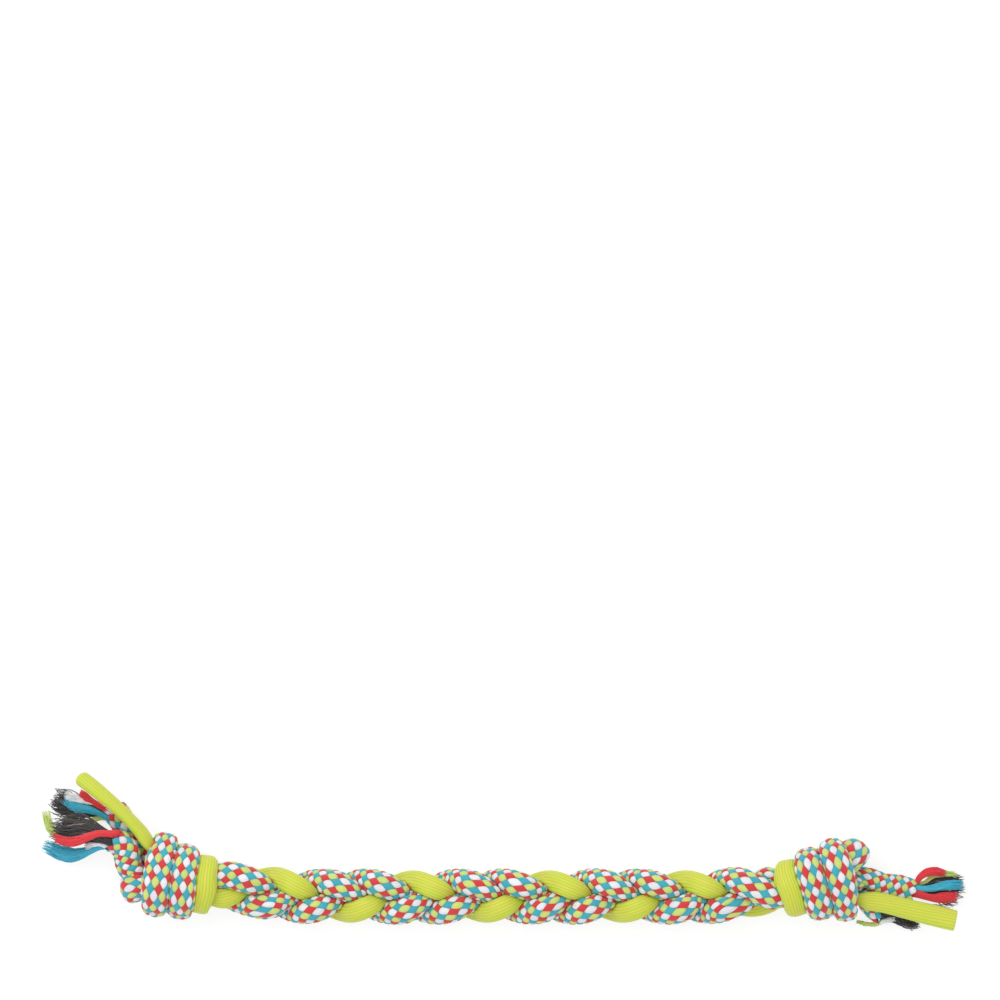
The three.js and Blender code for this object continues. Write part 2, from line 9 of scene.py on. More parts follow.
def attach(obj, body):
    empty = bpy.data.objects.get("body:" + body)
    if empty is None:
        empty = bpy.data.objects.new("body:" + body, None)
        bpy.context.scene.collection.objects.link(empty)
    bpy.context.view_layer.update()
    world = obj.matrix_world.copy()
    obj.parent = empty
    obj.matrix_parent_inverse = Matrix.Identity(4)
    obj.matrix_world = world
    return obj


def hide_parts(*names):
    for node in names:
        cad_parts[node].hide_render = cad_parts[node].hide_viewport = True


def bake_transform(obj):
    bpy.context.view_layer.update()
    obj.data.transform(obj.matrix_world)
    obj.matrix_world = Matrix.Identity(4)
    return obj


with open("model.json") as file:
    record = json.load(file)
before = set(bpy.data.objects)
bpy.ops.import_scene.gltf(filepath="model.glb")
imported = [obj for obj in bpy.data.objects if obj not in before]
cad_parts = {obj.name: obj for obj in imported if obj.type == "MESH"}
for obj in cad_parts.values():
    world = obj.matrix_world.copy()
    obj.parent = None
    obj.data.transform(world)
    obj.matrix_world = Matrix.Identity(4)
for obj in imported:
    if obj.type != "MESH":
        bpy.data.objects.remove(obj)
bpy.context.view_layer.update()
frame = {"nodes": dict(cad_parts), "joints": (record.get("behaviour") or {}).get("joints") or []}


# Camera
# The toy lies on a table and is seen from straight above through a long lens.
# The picture is square, with the toy along its lower edge.
scene = bpy.context.scene
scene.view_settings.view_transform = "Standard"
PICTURE_WIDTH = 0.538
PICTURE_MIDDLE = (-0.0014, 0.1873)
LENS_MM = 200
camera_data = bpy.data.cameras.new("camera")
camera_data.lens = LENS_MM
camera = bpy.data.objects.new("camera", camera_data)
camera.location = (*PICTURE_MIDDLE, PICTURE_WIDTH * LENS_MM / camera_data.sensor_width)
scene.collection.objects.link(camera)
scene.camera = camera


# Strands
# Three strands make the toy: a flat rubber cord and two round ropes, plaited flat and tied
# together in an overhand knot at each end. They are soft, and pulling tight presses each into
# its neighbours.
LENGTHS = "left_tail left_knot braid_left braid_middle braid_right right_knot right_tail".split()
JOINTS = {joint["name"]: np.array(joint["pos_m"]) for joint in frame["joints"]}
SKIN_STEP = 0.0005
SKIN_SIDES = 64
SKIN_SOFTENING = 36
FINEST_WAVE = 0.25
STEP_LEAST = 1e-9
TAIL_FULL = 0.7
WAY_STEPS = 4
LOOSE_LENGTH = 0.014
# Beside a point on the rim of a CAD end face are the face's middle, two points of its own ring
# and two of the next.
RIM_NEIGHBOURS = 5


def cad_rings(node):
    """The rings of points along a CAD length, from the middle of one end face to the other."""
    mesh = frame["nodes"][node].data
    places = np.empty(3 * len(mesh.vertices), np.float32)
    mesh.vertices.foreach_get("co", places)
    corners = np.empty(len(mesh.loops), np.int32)
    mesh.loops.foreach_get("vertex_index", corners)
    points, same = np.unique(places.reshape(-1, 3).round(7), axis=0, return_inverse=True)
    beside = [set() for _ in points]
    for face in same.ravel()[corners].reshape(-1, 3):
        for corner in face:
            beside[corner].update(int(other) for other in face if other != corner)
    on_rim = [len(near) == RIM_NEIGHBOURS for near in beside]
    tip = next(i for i, near in enumerate(beside) if all(on_rim[n] for n in near))
    ring, seen, rings = {tip}, {tip}, []
    while True:
        ring = {n for i in ring for n in beside[i]} - seen
        if len(ring) < 3:
            break
        seen |= ring
        walk = [min(ring)]
        while len(walk) < len(ring):
            walk.append(min((beside[walk[-1]] & ring) - set(walk)))
        rings.append(points[walk])
    return np.array(rings, float)


def ends_at(rings, place):
    """The rings in the order that ends nearest a place."""
    first, last = (np.linalg.norm(rings[end].mean(axis=0) - place) for end in (0, -1))
    return rings if last < first else rings[::-1]


def matched(rings):
    """Each ring turned to the one before, so that points with one number make a line along them."""
    lines = [rings[0]]
    for ring in rings[1:]:
        before = lines[-1] - lines[-1].mean(axis=0)
        turns = [np.roll(ring[::way], turn, axis=0) for way in (1, -1) for turn in range(len(ring))]
        off = np.array(turns) - ring.mean(axis=0) - before
        lines.append(turns[(off**2).sum(axis=(1, 2)).argmin()])
    return np.array(lines)


def softened(lines, rounds):
    """The lines evened out along their run, with both ends kept."""
    for _ in range(rounds):
        lines[1:-1] = (lines[:-2] + 2 * lines[1:-1] + lines[2:]) / 4
    return lines


def run_along(middle):
    """Distance along a middle line, and its direction, at each point."""
    steps = np.linalg.norm(np.diff(middle, axis=0), axis=1)
    run = np.concatenate([[0], np.cumsum(steps)])
    along = np.gradient(middle, run, axis=0)
    return run, along / np.linalg.norm(along, axis=1, keepdims=True)


def rounded(lines, sides):
    """Sections with more points, on a smooth curve through the given ones."""
    waves = np.fft.rfft(lines, axis=1)
    waves[:, -1] *= FINEST_WAVE
    return np.fft.irfft(waves, n=sides, axis=1) * sides / lines.shape[1]


def evenly_round(section):
    """A closed section with its points at equal distances."""
    steps = np.linalg.norm(np.roll(section, -1, axis=0) - section, axis=1)
    share = np.concatenate([[0], np.cumsum(steps)[:-1]]) / steps.sum()
    even = np.arange(len(section)) / len(section)
    want = even + (share - even).mean()
    return np.column_stack([np.interp(want, share, section[:, c], period=1) for c in range(3)])


class Strand:
    """The skin of one strand from its left end to its right end, read from its CAD lengths."""

    def __init__(self, name, tail_joints):
        inner = ["left_neck", "left_bend", "right_bend", "right_neck"]
        pivots = [JOINTS[pivot] for pivot in (tail_joints[0], *inner, tail_joints[1])]
        lengths = []
        for part, pivot in zip(LENGTHS, [*pivots, pivots[-1]]):
            rings = cad_rings(f"{name}_{part}")
            reach = np.linalg.norm(rings - rings.mean(axis=1, keepdims=True), axis=2).mean(axis=1)
            rings = rings[reach > TAIL_FULL * reach.max()] if "tail" in part else rings[1:-1]
            rings = ends_at(rings, pivot)
            lengths.append(rings[::-1] if part == "right_tail" else rings)
        lines = matched(np.concatenate(lengths))
        half = len(lines) // 2
        lines = np.roll(lines, -lines[half, :, 2].argmax(), axis=1)
        run, along = run_along(lines.mean(axis=1))
        first, second = lines[half, :2] - lines[half].mean(axis=0)
        if np.cross(first, second) @ along[half] < 0:
            lines = np.roll(lines[:, ::-1], 1, axis=1)
        counts = np.cumsum([0, *map(len, lengths)])
        self.spans = {p: (run[a], run[b - 1]) for p, a, b in zip(LENGTHS, counts, counts[1:])}
        self.length = run[-1]
        self.lay_evenly(lines, run, along)
        self.pivot_runs = [self.nearest_run(pivot) for pivot in (pivots[0], pivots[-1])]

    def lay_evenly(self, lines, run, along):
        """Square sections at even steps, evened out along the strand and round it."""
        middle = lines.mean(axis=1)
        place = run[:, None] + ((lines - middle[:, None]) * along[:, None]).sum(axis=2)
        count = int(round(self.length / SKIN_STEP))
        self.runs = np.linspace(0, self.length, count + 1)
        even = np.empty((count + 1, lines.shape[1], 3))
        for k in range(lines.shape[1]):
            rising = np.maximum.accumulate(place[:, k] + STEP_LEAST * np.arange(len(run)))
            for c in range(3):
                even[:, k, c] = np.interp(self.runs, rising, lines[:, k, c])
        sections = rounded(softened(even, SKIN_SOFTENING), SKIN_SIDES)
        self.points = np.array([evenly_round(section) for section in sections])
        self.face_out()

    def face_out(self):
        """Finds the middle line and the outward directions of the skin."""
        self.middle = self.points.mean(axis=1)
        across = np.roll(self.points, -1, axis=1) - np.roll(self.points, 1, axis=1)
        outward = np.cross(across, np.gradient(self.points, axis=0))
        self.outward = outward / np.linalg.norm(outward, axis=2, keepdims=True)

    def near(self, run, reach):
        """A share from 1 at a distance along the strand to 0 at a reach from there."""
        return np.clip(1 - ((self.runs - run) / reach) ** 2, 0, 1)[:, None, None] ** 2

    def lean(self, run, reach, shift):
        """Moves the strand aside about one place."""
        self.points += self.near(run, reach) * np.array(shift)
        self.face_out()

    def thin(self, run, reach, share):
        """Makes the strand thinner about one place."""
        self.points += (self.middle[:, None] - self.points) * self.near(run, reach) * share
        self.face_out()

    def broaden(self, run, reach, shift):
        """Moves one edge of the strand out about one place."""
        shift = np.array(shift)
        side = np.maximum((self.points - self.middle[:, None]) @ shift, 0)
        side /= side.max(axis=1, keepdims=True)
        self.points += self.near(run, reach) * side[:, :, None] * shift
        self.face_out()

    def is_loose(self):
        """Whether each place along the strand is on a loose end."""
        first, last = self.pivot_runs
        return (self.runs < first + LOOSE_LENGTH) | (self.runs > last - LOOSE_LENGTH)

    def nearest_run(self, place):
        """The distance along the strand where it passes nearest a place."""
        return self.runs[np.linalg.norm(self.middle - place, axis=1).argmin()]

    def direction(self, run):
        """The way that the strand runs at a distance along it."""
        i = np.clip(np.searchsorted(self.runs, run), WAY_STEPS, len(self.runs) - 1 - WAY_STEPS)
        way = self.middle[i + WAY_STEPS] - self.middle[i - WAY_STEPS]
        return way / np.linalg.norm(way)

    def on_middle(self, run):
        """The place on the middle line at a distance along the strand."""
        return np.array([np.interp(run, self.runs, self.middle[:, c]) for c in range(3)])

    def on_skin(self, run, turn, lift):
        """Points at distances along the strand and turns round it, lifted off its skin."""
        i = np.clip(run / self.length, 0, 1) * (len(self.runs) - 1)
        low = np.minimum(i.astype(int), len(self.runs) - 2)
        part = (i - low)[:, None]
        k = (turn % 1) * SKIN_SIDES
        left = k.astype(int) % SKIN_SIDES
        right = (left + 1) % SKIN_SIDES
        side = (k - k.astype(int))[:, None]

        def between(grid):
            near = grid[low, left] * (1 - side) + grid[low, right] * side
            far = grid[low + 1, left] * (1 - side) + grid[low + 1, right] * side
            return near * (1 - part) + far * part

        points = between(self.points) + between(self.outward) * lift[:, None]
        points[:, 2] = np.maximum(points[:, 2], 0)
        return points


FILL_ROUNDS = 3
FILL_REACH = 0.012
FILL_MOST = 0.0013
FILL_GAP = 0.0009
FILL_ALONG = 8
FILL_AROUND = 4
FILL_FINISH = 2
OFF_SKIN = 0.00001
SKIN_LOW = 0.0003


def grid_faces(rows, sides, first=0):
    """Four-cornered faces between rings of points that follow one another."""
    row, side = np.meshgrid(np.arange(rows - 1), np.arange(sides), indexing="ij")
    a = first + row * sides + side
    b = first + row * sides + (side + 1) % sides
    return np.stack([a, b, b + sides, a + sides], axis=-1).reshape(-1, 4)


def skins(strands):
    """A tree of the skins of all the strands, and which of its faces are on loose ends."""
    points, faces, loose, first = [], [], [], 0
    for strand in strands:
        rows, sides = strand.points[::2].shape[:2]
        points += strand.points[::2].reshape(-1, 3).tolist()
        faces += grid_faces(rows, sides, first).tolist()
        loose.append(np.repeat(strand.is_loose()[::2][:-1], sides))
        first += rows * sides
    return BVHTree.FromPolygons(points, faces), np.concatenate(loose)


def fill_gaps(strands):
    """Swells the strands into the gaps between them, short of touching."""
    for _ in range(FILL_ROUNDS):
        tree, loose = skins(strands)
        for strand in strands:
            free = np.zeros(strand.points[::2].shape[:2])
            for i, k in np.ndindex(free.shape):
                way = Vector(strand.outward[2 * i, k])
                start = Vector(strand.points[2 * i, k]) + way * OFF_SKIN
                _, _, face, distance = tree.ray_cast(start, way, FILL_REACH)
                if face is not None and not loose[face]:
                    free[i, k] = distance
            push = np.clip((free - FILL_GAP) / 2, 0, FILL_MOST) * (1 - free / FILL_REACH)
            push = softened(push * ~strand.is_loose()[::2, None], FILL_ALONG)
            for _ in range(FILL_AROUND):
                push = (np.roll(push, 1, axis=1) + 2 * push + np.roll(push, -1, axis=1)) / 4
            push = softened(np.repeat(push, 2, axis=0)[: len(strand.runs)], FILL_FINISH)
            strand.points += strand.outward * push[:, :, None]
            strand.points[:, :, 2] = np.maximum(strand.points[:, :, 2], SKIN_LOW)
            strand.face_out()


class Stretch:
    """One piece of a strand: where it starts and ends, and the joint that it bends across."""

    def __init__(self, strand, name, start, end, bodies, zone, nodes):
        self.strand, self.name, self.start, self.end = strand, name, start, end
        self.bodies, self.zone, self.nodes = bodies, zone, nodes


NECK_ZONE = (-0.013, 0.023)
BEND_ZONE = (-0.008, 0.028)
TAIL_ZONE = (-0.005, 0.006)
TAIL_SET_BACK = 0.011
PIECES = "left_tail left_knot left_plait right_plait right_knot right_tail".split()
PARTINGS = {"braid_left": 0.25, "braid_middle": 0.5, "braid_right": 0.75}


def stretches(strand, name, tails):
    """The six pieces of a strand. Each crosses one joint, and they part where nothing bends."""
    first, last = strand.pivot_runs
    parts = [np.interp(share, (0, 1), strand.spans[part]) for part, share in PARTINGS.items()]
    cuts = [0, first + TAIL_SET_BACK, *parts, last - TAIL_SET_BACK, strand.length]
    bodies = [
        ("left_knot", tails[0]), ("left_knot", "braid_left"), ("braid_middle", "braid_left"),
        ("braid_middle", "braid_right"), ("right_knot", "braid_right"), ("right_knot", tails[1]),
    ]
    zones = [
        (first, -strand.direction(first), TAIL_ZONE), (JOINTS["left_neck"], (1, 0, 0), NECK_ZONE),
        (JOINTS["left_bend"], (-1, 0, 0), BEND_ZONE), (JOINTS["right_bend"], (1, 0, 0), BEND_ZONE),
        (JOINTS["right_neck"], (-1, 0, 0), NECK_ZONE), (last, strand.direction(last), TAIL_ZONE),
    ]
    nodes = [
        ["left_tail"], ["left_knot"], ["braid_left", "braid_middle"],
        ["braid_right"], ["right_knot"], ["right_tail"],
    ]
    made = []
    for n, label in enumerate(PIECES):
        place, way, (before, after) = zones[n]
        pivot = strand.on_middle(place) if np.isscalar(place) else place
        zone = [pivot + np.array(way) * before, pivot + np.array(way) * after]
        replaced = [f"{name}_{node}" for node in nodes[n]]
        made.append(Stretch(strand, label, cuts[n], cuts[n + 1], bodies[n], zone, replaced))
    return made


cord = Strand("rubber_cord", ("left_cord_tail_swing", "right_cord_tail_swing"))
ropes = {}
for rope in ("rope_a", "rope_b"):
    ropes[rope] = Strand(rope, [f"{side}_{rope}_tail_swing" for side in ("left", "right")])
fill_gaps([cord, *ropes.values()])

# Slack turns and ends lie aside, are pressed broad or are drawn thin.
# Each line has the distance along the strand, the reach to either side and the amount.
LEANS = {
    "rope_a": [
        (0, 0.016, (0.0016, 0.0030, -0.0004)),
        (0.166, 0.022, (-0.0012, 0.0008, 0)),
        (0.778, 0.020, (0, -0.0038, 0)),
    ],
    "rope_b": [(0.026, 0.020, (-0.0030, -0.0005, 0)), (0.749, 0.016, (0, 0.0032, 0))],
}
ROPE_BROAD = {
    "rope_a": [(0.167, 0.020, (-0.0004, 0.0024, 0))],
    "rope_b": [(0.026, 0.022, (0.0024, 0, 0)), (0.602, 0.018, (-0.0026, 0.0010, 0))],
}
CORD_THIN = [(0.038, 0.034, 0.24), (0.842, 0.032, 0.15)]
CORD_BROAD = [(0.122, 0.036, (0.0012, 0, 0)), (0.760, 0.036, (-0.0012, 0, 0))]
for rope, strand in ropes.items():
    for lean in LEANS[rope]:
        strand.lean(*lean)
    for broad in ROPE_BROAD[rope]:
        strand.broaden(*broad)
for thin in CORD_THIN:
    cord.thin(*thin)
for broad in CORD_BROAD:
    cord.broaden(*broad)


# Rubber cord
# One flat cord of elastic rubber, extruded with fine ribs along it. Its left end is rounded and its
# right end is cut square. It is plaited with the two ropes, and both knots hold it.
CORD_RIBS = 18
RIB_STEPS = 6
RIB_DEPTH = 0.00022
RIB_ROUND = 0.5
CORD_ROW = 0.0013
CORD_SWELL = 0.0002
CUT_RIM = 0.0005
CUT_SHRINK = (0.985, 0.95, 0.9, 0.5, 0.01)
CUT_OUT = (0.4, 0.75, 1.0, 1.0, 1.0)
ROUND_TIP = 0.0028
ROUND_SLOPES = (18, 36, 54, 72, 89)
CORD_LIME = (0.565, 0.70, 0.042)
CORD_YELLOW = (0.86, 0.62, 0.09)
# A darker green, painted into the grooves between the ribs as shade.
CORD_GROOVE_SHADE = (0.31, 0.53, 0.02)
RUBBER_ROUGHNESS = 0.5
RUBBER_SHEEN = 0.15
RUBBER_BUMP = (0.25, 0.0003)
# Noise along a strand: how fine it is across and along, and its detail.
CORD_LINES = (2.2, 60.0, 4.0)
CORD_GRAIN = (9.0, 300.0)
NOISE_ROUGHNESS = 0.6
YELLOW_GAIN = 2.6
YELLOW_START = -0.85
YELLOW_MOST = 0.9
# How the painted shade in the grooves falls off from them, and how much the lines deepen it.
GROOVE_EDGE = 4.0
GROOVE_LINES = 0.8
GROOVE_LEAST = 0.25


def new_mesh(name, points, faces, materials, face_materials=None, corners_uv=None):
    """A smooth mesh object from points and from arrays of faces with equal numbers of corners."""
    mesh = bpy.data.meshes.new(name)
    sizes = np.concatenate([np.full(len(group), group.shape[1]) for group in faces])
    loops = np.concatenate([group.ravel() for group in faces]).astype(np.int32)
    mesh.vertices.add(len(points))
    mesh.vertices.foreach_set("co", np.asarray(points, np.float32).ravel())
    mesh.loops.add(len(loops))
    mesh.loops.foreach_set("vertex_index", loops)
    mesh.polygons.add(len(sizes))
    mesh.polygons.foreach_set("loop_start", (np.cumsum(sizes) - sizes).astype(np.int32))
    mesh.polygons.foreach_set("use_smooth", np.ones(len(sizes), bool))
    for material in materials:
        mesh.materials.append(material)
    if face_materials is not None:
        mesh.polygons.foreach_set("material_index", face_materials.astype(np.int32))
    if corners_uv is not None:
        layer = mesh.uv_layers.new(name="lay")
        layer.data.foreach_set("uv", corners_uv.astype(np.float32).ravel())
    mesh.update(calc_edges=True)
    mesh.validate()
    piece = bpy.data.objects.new(name, mesh)
    scene.collection.objects.link(piece)
    return piece


def node(tree, kind, *inputs, output=0, **settings):
    """Adds a shader node, with numbers or links on its first inputs, and gives back an output."""
    made = tree.nodes.new(kind)
    for key, value in settings.items():
        setattr(made, key, value)
    for socket, value in zip(made.inputs, inputs):
        if isinstance(value, bpy.types.NodeSocket):
            tree.links.new(value, socket)
        elif value is not None:
            socket.default_value = value
    return made.outputs[output]


def maths(tree, operation, *inputs):
    """The result of a sum on numbers or links."""
    return node(tree, "ShaderNodeMath", *inputs, operation=operation)


def mixed(tree, share, first, second):
    """One colour or another by a share."""
    made = tree.nodes.new("ShaderNodeMix")
    made.data_type = "RGBA"
    for socket, value in ((0, share), (6, first), (7, second)):
        if isinstance(value, bpy.types.NodeSocket):
            tree.links.new(value, made.inputs[socket])
        else:
            made.inputs[socket].default_value = value if socket == 0 else (*value, 1)
    return made.outputs[2]


def new_material(name, roughness, sheen=0.0):
    """A material with its shader nodes and its surface shader."""
    material = bpy.data.materials.new(name)
    material.use_nodes = True
    shader = material.node_tree.nodes["Principled BSDF"]
    shader.inputs["Roughness"].default_value = roughness
    shader.inputs["Sheen Weight"].default_value = sheen
    return material, material.node_tree, shader


def lay_coordinates(tree):
    """The two coordinates laid out on a strand's mesh."""
    lay = node(tree, "ShaderNodeUVMap", uv_map="lay")
    split = tree.nodes.new("ShaderNodeSeparateXYZ")
    tree.links.new(lay, split.inputs[0])
    return split.outputs[0], split.outputs[1]


def streaks(tree, across, along, fineness, length, detail=3.0):
    """Noise drawn out along a strand."""
    scales = ((across, fineness), (along, length))
    drawn = [maths(tree, "MULTIPLY", x, scale) for x, scale in scales]
    place = node(tree, "ShaderNodeCombineXYZ", *drawn)
    return node(tree, "ShaderNodeTexNoise", place, None, 1.0, detail, NOISE_ROUGHNESS)


def add_bump(tree, shader, height, strength, distance):
    """Fine relief on a surface, finer than its mesh."""
    bump = tree.nodes.new("ShaderNodeBump")
    bump.inputs["Strength"].default_value = strength
    bump.inputs["Distance"].default_value = distance
    tree.links.new(height, bump.inputs["Height"])
    tree.links.new(bump.outputs[0], shader.inputs["Normal"])


def rubber_material():
    """Lime rubber with orange-yellow lines along some ribs, and painted shade of darker green in
    the grooves between them.
    """
    material, tree, shader = new_material("lime_rubber", RUBBER_ROUGHNESS, RUBBER_SHEEN)
    rib, run = lay_coordinates(tree)
    number = maths(tree, "FLOOR", rib)
    tint = node(tree, "ShaderNodeTexWhiteNoise", None, number, noise_dimensions="1D")
    lines = streaks(tree, rib, run, *CORD_LINES)
    strong = maths(tree, "MULTIPLY_ADD", lines, YELLOW_GAIN, YELLOW_START)
    share = maths(tree, "MAXIMUM", maths(tree, "MULTIPLY", tint, strong), 0.0)
    share = maths(tree, "MINIMUM", share, YELLOW_MOST)
    lit = mixed(tree, share, CORD_LIME, CORD_YELLOW)
    # Painted shade: the colour turns darker green towards the grooves between the ribs, more where
    # the lines are strong.
    across = maths(tree, "ABSOLUTE", maths(tree, "SUBTRACT", maths(tree, "FRACT", rib), 0.5))
    groove_shade = maths(tree, "POWER", maths(tree, "MULTIPLY", across, 2.0), GROOVE_EDGE)
    uneven = maths(tree, "MULTIPLY_ADD", lines, GROOVE_LINES, GROOVE_LEAST)
    depth = maths(tree, "MULTIPLY", groove_shade, uneven)
    tree.links.new(mixed(tree, depth, lit, CORD_GROOVE_SHADE), shader.inputs["Base Color"])
    add_bump(tree, shader, streaks(tree, rib, run, *CORD_GRAIN), *RUBBER_BUMP)
    return material


def cord_end(ring, push, depth, shrink, out):
    """Rings that close an end of the cord, from its rim to nearly its middle."""
    middle = ring.mean(axis=0)
    size, far = (np.array(shares)[:, None, None] for shares in (shrink, out))
    return middle + (ring - middle) * size + push * depth * far


def dress_cord(stretch, material):
    """One piece of the ribbed cord, closed at both ends."""
    strand = stretch.strand
    sides = CORD_RIBS * RIB_STEPS
    begin = stretch.start + (ROUND_TIP if stretch.name == "left_tail" else 0)
    finish = stretch.end - (CUT_RIM if stretch.name == "right_tail" else 0)
    rows = max(3, int(round((finish - begin) / CORD_ROW)) + 1)
    runs = np.linspace(begin, finish, rows)
    turns = np.arange(sides) / sides
    ridge = np.abs(np.sin(np.pi * turns * CORD_RIBS)) ** RIB_ROUND
    lift = CORD_SWELL - RIB_DEPTH * (1 - ridge)
    run, turn = (grid.ravel() for grid in np.meshgrid(runs, turns, indexing="ij"))
    rings = strand.on_skin(run, turn, np.tile(lift, rows)).reshape(rows, sides, 3)
    start = cord_end(rings[0], -strand.direction(begin), CUT_RIM, CUT_SHRINK, CUT_OUT)
    if stretch.name == "left_tail":
        slope = np.radians(ROUND_SLOPES)
        round_end = ROUND_TIP, np.cos(slope), np.sin(slope)
        start = cord_end(rings[0], -strand.direction(begin), *round_end)
    end = cord_end(rings[-1], strand.direction(finish), CUT_RIM, CUT_SHRINK, CUT_OUT)
    rings = np.concatenate([start[::-1], rings, end])
    count = len(rings)
    first = np.arange(sides)
    caps = np.stack([first[::-1], first + (count - 1) * sides])
    ring_runs = np.concatenate([np.full(len(start), begin), runs, np.full(len(end), finish)])
    row_of = np.repeat(np.arange(count - 1), sides)
    side_of = np.tile(first, count - 1)
    u = np.stack([side_of, side_of + 1, side_of + 1, side_of], axis=1) / RIB_STEPS
    v = np.stack([row_of, row_of, row_of + 1, row_of + 1], axis=1)
    uv = np.stack([u, ring_runs[v]], axis=-1).reshape(-1, 2)
    uv = np.concatenate([uv, np.full((caps.size, 2), 0.5)])
    faces = [grid_faces(count, sides), caps]
    name = f"rubber_cord_{stretch.name}_ribs"
    return new_mesh(name, rings.reshape(-1, 3), faces, [material], None, uv)


def fix_stretch(piece, stretch):
    """Sets a piece of a strand in place of its CAD lengths."""
    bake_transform(piece)
    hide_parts(*stretch.nodes)


lime_rubber = rubber_material()
for stretch in stretches(cord, "rubber_cord", ("left_cord_tail", "right_cord_tail")):
    fix_stretch(dress_cord(stretch, lime_rubber), stretch)


# Braided ropes
# Two ropes of synthetic yarn, each a sheath braided on sixteen carriers over a loose black core.
# Red and blue yarns wind one way and white and lime ones the other, each over one and under one.
CARRIERS = 16
PLAIT_RISE = 0.0024
KNOT_RISES = {"left_knot": 0.0029, "right_knot": 0.0031}
RISE_CHANGE = 0.03
LOZENGE_STEPS = 8
LOZENGE_HEIGHT = 0.0009
PLY_DEPTH = 0.12
# How sharply a lozenge falls off near its edge, and how full its top is.
CROWN_ACROSS = (2.4, 0.6)
CROWN_ALONG = (2.2, 0.7)
CROWN_SHARE = 0.6
SHEATH_SINK = 0.0005
RED_YARN = (0.73, 0.031, 0.036)
BLUE_YARN = (0.038, 0.44, 0.54)
WHITE_YARN = (0.90, 0.91, 0.95)
LIME_YARN = (0.68, 0.80, 0.20)
BLACK_YARN = (0.012, 0.011, 0.013)
DUSTY_YARN = (0.055, 0.045, 0.045)
BROWN_YARN = (0.30, 0.22, 0.22)
BROWN_SHARE = 0.06
# Dark colour mixed into the sheath for the thread streaks and uneven tone, and as painted shade in
# the pits.
DARK_TONE_AND_SHADE = (0.05, 0.04, 0.05)
SHEATH_ROUGHNESS = 0.75
YARN_ROUGHNESS = 0.6
YARN_SHEEN = 0.3
SHEATH_BUMP = (0.5, 0.0004)
YARN_BUMP = (0.4, 0.0005)
BRAID_THREADS = (22.0, 2.0)
THREAD_LIGHT = 0.6
THREAD_SHADE = 0.5
# How the painted shade deepens towards the pits at the lozenge corners, and how dark it gets.
PIT_EDGE = 2.5
PAINTED_PIT_SHADE = 0.75
UNEVEN_SHADE = 0.1
YARN_TINTS = (1.7, 1.5)
YARN_GRAIN = (3.0, 3.0)
TINT_GAIN = 2.2
TINT_START = -0.6
EVEN_SHIFT = 10000.0


def fan_faces(ring, tip, outward):
    """Three-cornered faces from a ring of points to one point."""
    after = np.roll(ring, -1)
    return np.column_stack([ring, after, np.full(len(ring), tip)][:: 1 if outward else -1])


def odd(tree, number):
    """1 for odd numbers and 0 for even ones, below zero too."""
    return maths(tree, "MODULO", maths(tree, "ADD", number, EVEN_SHIFT), 2.0)


def off_middle(tree, place):
    """Distance from the middle line of a yarn, from 0 to 1 at its edge."""
    share = maths(tree, "FRACT", place)
    return maths(tree, "ABSOLUTE", maths(tree, "MULTIPLY_ADD", share, 2.0, -1.0))


def sheath_material():
    """Braided yarn: lozenges of four colours, each of fine threads, with painted shade in the pits.
    """
    material, tree, shader = new_material("braided_sheath", SHEATH_ROUGHNESS, YARN_SHEEN)
    one, other = lay_coordinates(tree)
    number, other_number = maths(tree, "FLOOR", one), maths(tree, "FLOOR", other)
    is_other = odd(tree, maths(tree, "ADD", number, other_number))
    winding = mixed(tree, odd(tree, number), RED_YARN, BLUE_YARN)
    counter = mixed(tree, odd(tree, other_number), WHITE_YARN, LIME_YARN)
    pick = tree.nodes.new("ShaderNodeMix")
    threads = (streaks(tree, one, other, *BRAID_THREADS), streaks(tree, other, one, *BRAID_THREADS))
    for socket, value in zip((0, 2, 3), (is_other, *threads)):
        tree.links.new(value, pick.inputs[socket])
    fine = maths(tree, "SUBTRACT", THREAD_LIGHT, pick.outputs[0])
    fine = maths(tree, "MULTIPLY", fine, THREAD_SHADE)
    # Painted shade: the colour darkens towards the pits at each lozenge's corners, on top of the
    # thread streaks and uneven tone.
    edge = maths(tree, "MULTIPLY", off_middle(tree, one), off_middle(tree, other))
    painted_pit_shade = maths(tree, "MULTIPLY_ADD", maths(tree, "POWER", edge, PIT_EDGE), PAINTED_PIT_SHADE, fine)
    place = node(tree, "ShaderNodeCombineXYZ", number, other_number)
    uneven = node(tree, "ShaderNodeTexWhiteNoise", place, noise_dimensions="2D")
    tone_and_painted_shade = maths(tree, "MAXIMUM", maths(tree, "MULTIPLY_ADD", uneven, UNEVEN_SHADE, painted_pit_shade), 0.0)
    colour = mixed(tree, tone_and_painted_shade, mixed(tree, is_other, winding, counter), DARK_TONE_AND_SHADE)
    tree.links.new(colour, shader.inputs["Base Color"])
    add_bump(tree, shader, pick.outputs[0], *SHEATH_BUMP)
    return material


def yarn_material(name, colour, dark, odd_colour, odd_share):
    """Loose yarn: each thread a little lighter or darker, and a few of another colour."""
    material, tree, shader = new_material(name, YARN_ROUGHNESS, YARN_SHEEN)
    thread, run = lay_coordinates(tree)
    tint = streaks(tree, thread, run, *YARN_TINTS)
    share = maths(tree, "MULTIPLY_ADD", tint, TINT_GAIN, TINT_START)
    number = maths(tree, "FLOOR", thread)
    chance = node(tree, "ShaderNodeTexWhiteNoise", None, number, noise_dimensions="1D")
    stray = maths(tree, "LESS_THAN", chance, odd_share)
    shown = mixed(tree, stray, mixed(tree, share, colour, dark), odd_colour)
    tree.links.new(shown, shader.inputs["Base Color"])
    add_bump(tree, shader, streaks(tree, thread, run, *YARN_GRAIN), *YARN_BUMP)
    return material


